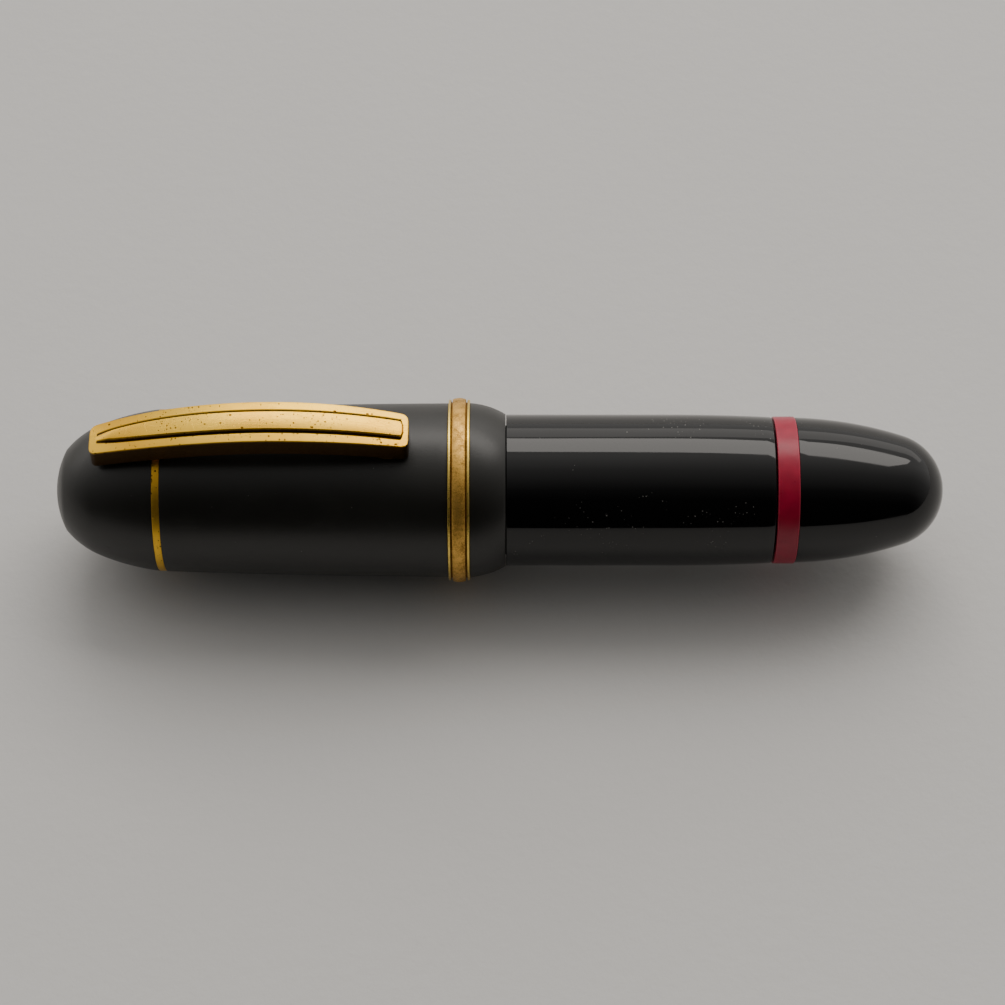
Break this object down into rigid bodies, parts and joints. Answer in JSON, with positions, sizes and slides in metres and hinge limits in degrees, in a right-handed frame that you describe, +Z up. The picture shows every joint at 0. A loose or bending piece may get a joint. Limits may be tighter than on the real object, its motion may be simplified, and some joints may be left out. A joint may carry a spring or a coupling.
{
  "type": "fountain pen",
  "caption": "Short thick piston-filled fountain pen with a screw cap, arched sprung clip, domed cap end, raised cap band, red ring and turning tail knob.",
  "frame": {"origin": "on the pen's axis, in the plane where the cap's lip meets the barrel's shoulder", "axes": "+X along the pen towards the turning knob at the tail, +Z up towards the clip, +Y completes the right hand"},
  "size_m": [0.0949, 0.0198, 0.0244],
  "materials": {
    "cap_black": "satin, finely scratched",
    "barrel_black": "polished",
    "gold_trim": "gold plated, polished",
    "band_gold": "gold plated, worn and coppery",
    "ring_red": "polished crimson",
    "nib_gold": "polished",
    "tipping_metal": "polished",
    "feed_ebonite": "matt",
    "liner_plastic": "moulded",
    "mechanism_plastic": "moulded",
    "nut_brass": "turned",
    "retainer_steel": "turned",
    "seal_rubber": "smooth"
  },
  "bodies": {
    "barrel": {"barrel": "barrel_black", "grip_section": "barrel_black", "section_gasket": "seal_rubber", "nib_collar": "feed_ebonite", "feed": "feed_ebonite", "nib": "nib_gold", "nib_tipping": "tipping_metal", "filler_housing": "mechanism_plastic", "housing_gasket": "seal_rubber", "retaining_ring": "retainer_steel"},
    "piston": {"piston_rod": "mechanism_plastic", "piston_head": "mechanism_plastic", "piston_seal": "seal_rubber", "piston_screw": "retainer_steel"},
    "knob": {"spindle_nut": "nut_brass", "red_ring": "ring_red", "filling_knob": "barrel_black"},
    "liner": {"inner_cap": "liner_plastic"},
    "cap": {"cap_dome": "cap_black", "clip_ring": "gold_trim", "clip_pin": "gold_trim", "clip_spring": "retainer_steel", "cap_tube": "cap_black", "cap_band": "band_gold", "cap_lip_bush": "cap_black"},
    "clip": {"clip": "gold_trim"}
  },
  "joints": [
    {"name": "knob_turn", "type": "hinge", "parent": "barrel", "child": "knob", "pos_m": [0.0308, 0, 0], "axis": [1, 0, 0], "range_deg": [0, 1260]},
    {"name": "piston_travel", "type": "slide", "parent": "barrel", "child": "piston", "axis": [-1, 0, 0], "range_m": [0, 0.01401]},
    {"name": "cap_pull", "type": "slide", "parent": "barrel", "child": "liner", "axis": [-1, 0, 0], "range_m": [0, 0.05]},
    {"name": "cap_turn", "type": "hinge", "parent": "liner", "child": "cap", "pos_m": [-0.0363, 0, 0], "axis": [-1, 0, 0], "range_deg": [0, 540]},
    {"name": "clip_flex", "type": "hinge", "parent": "cap", "child": "clip", "pos_m": [-0.0367, 0, 0.01063], "axis": [0, -1, 0], "range_deg": [0, 4], "stiffness_Nm_per_rad": 0.3, "springref_deg": -2.86}
  ],
  "couplings": [
    {"joint": "piston_travel", "follows": "knob_turn", "m_per_rad": 0.00063662}
  ]
}
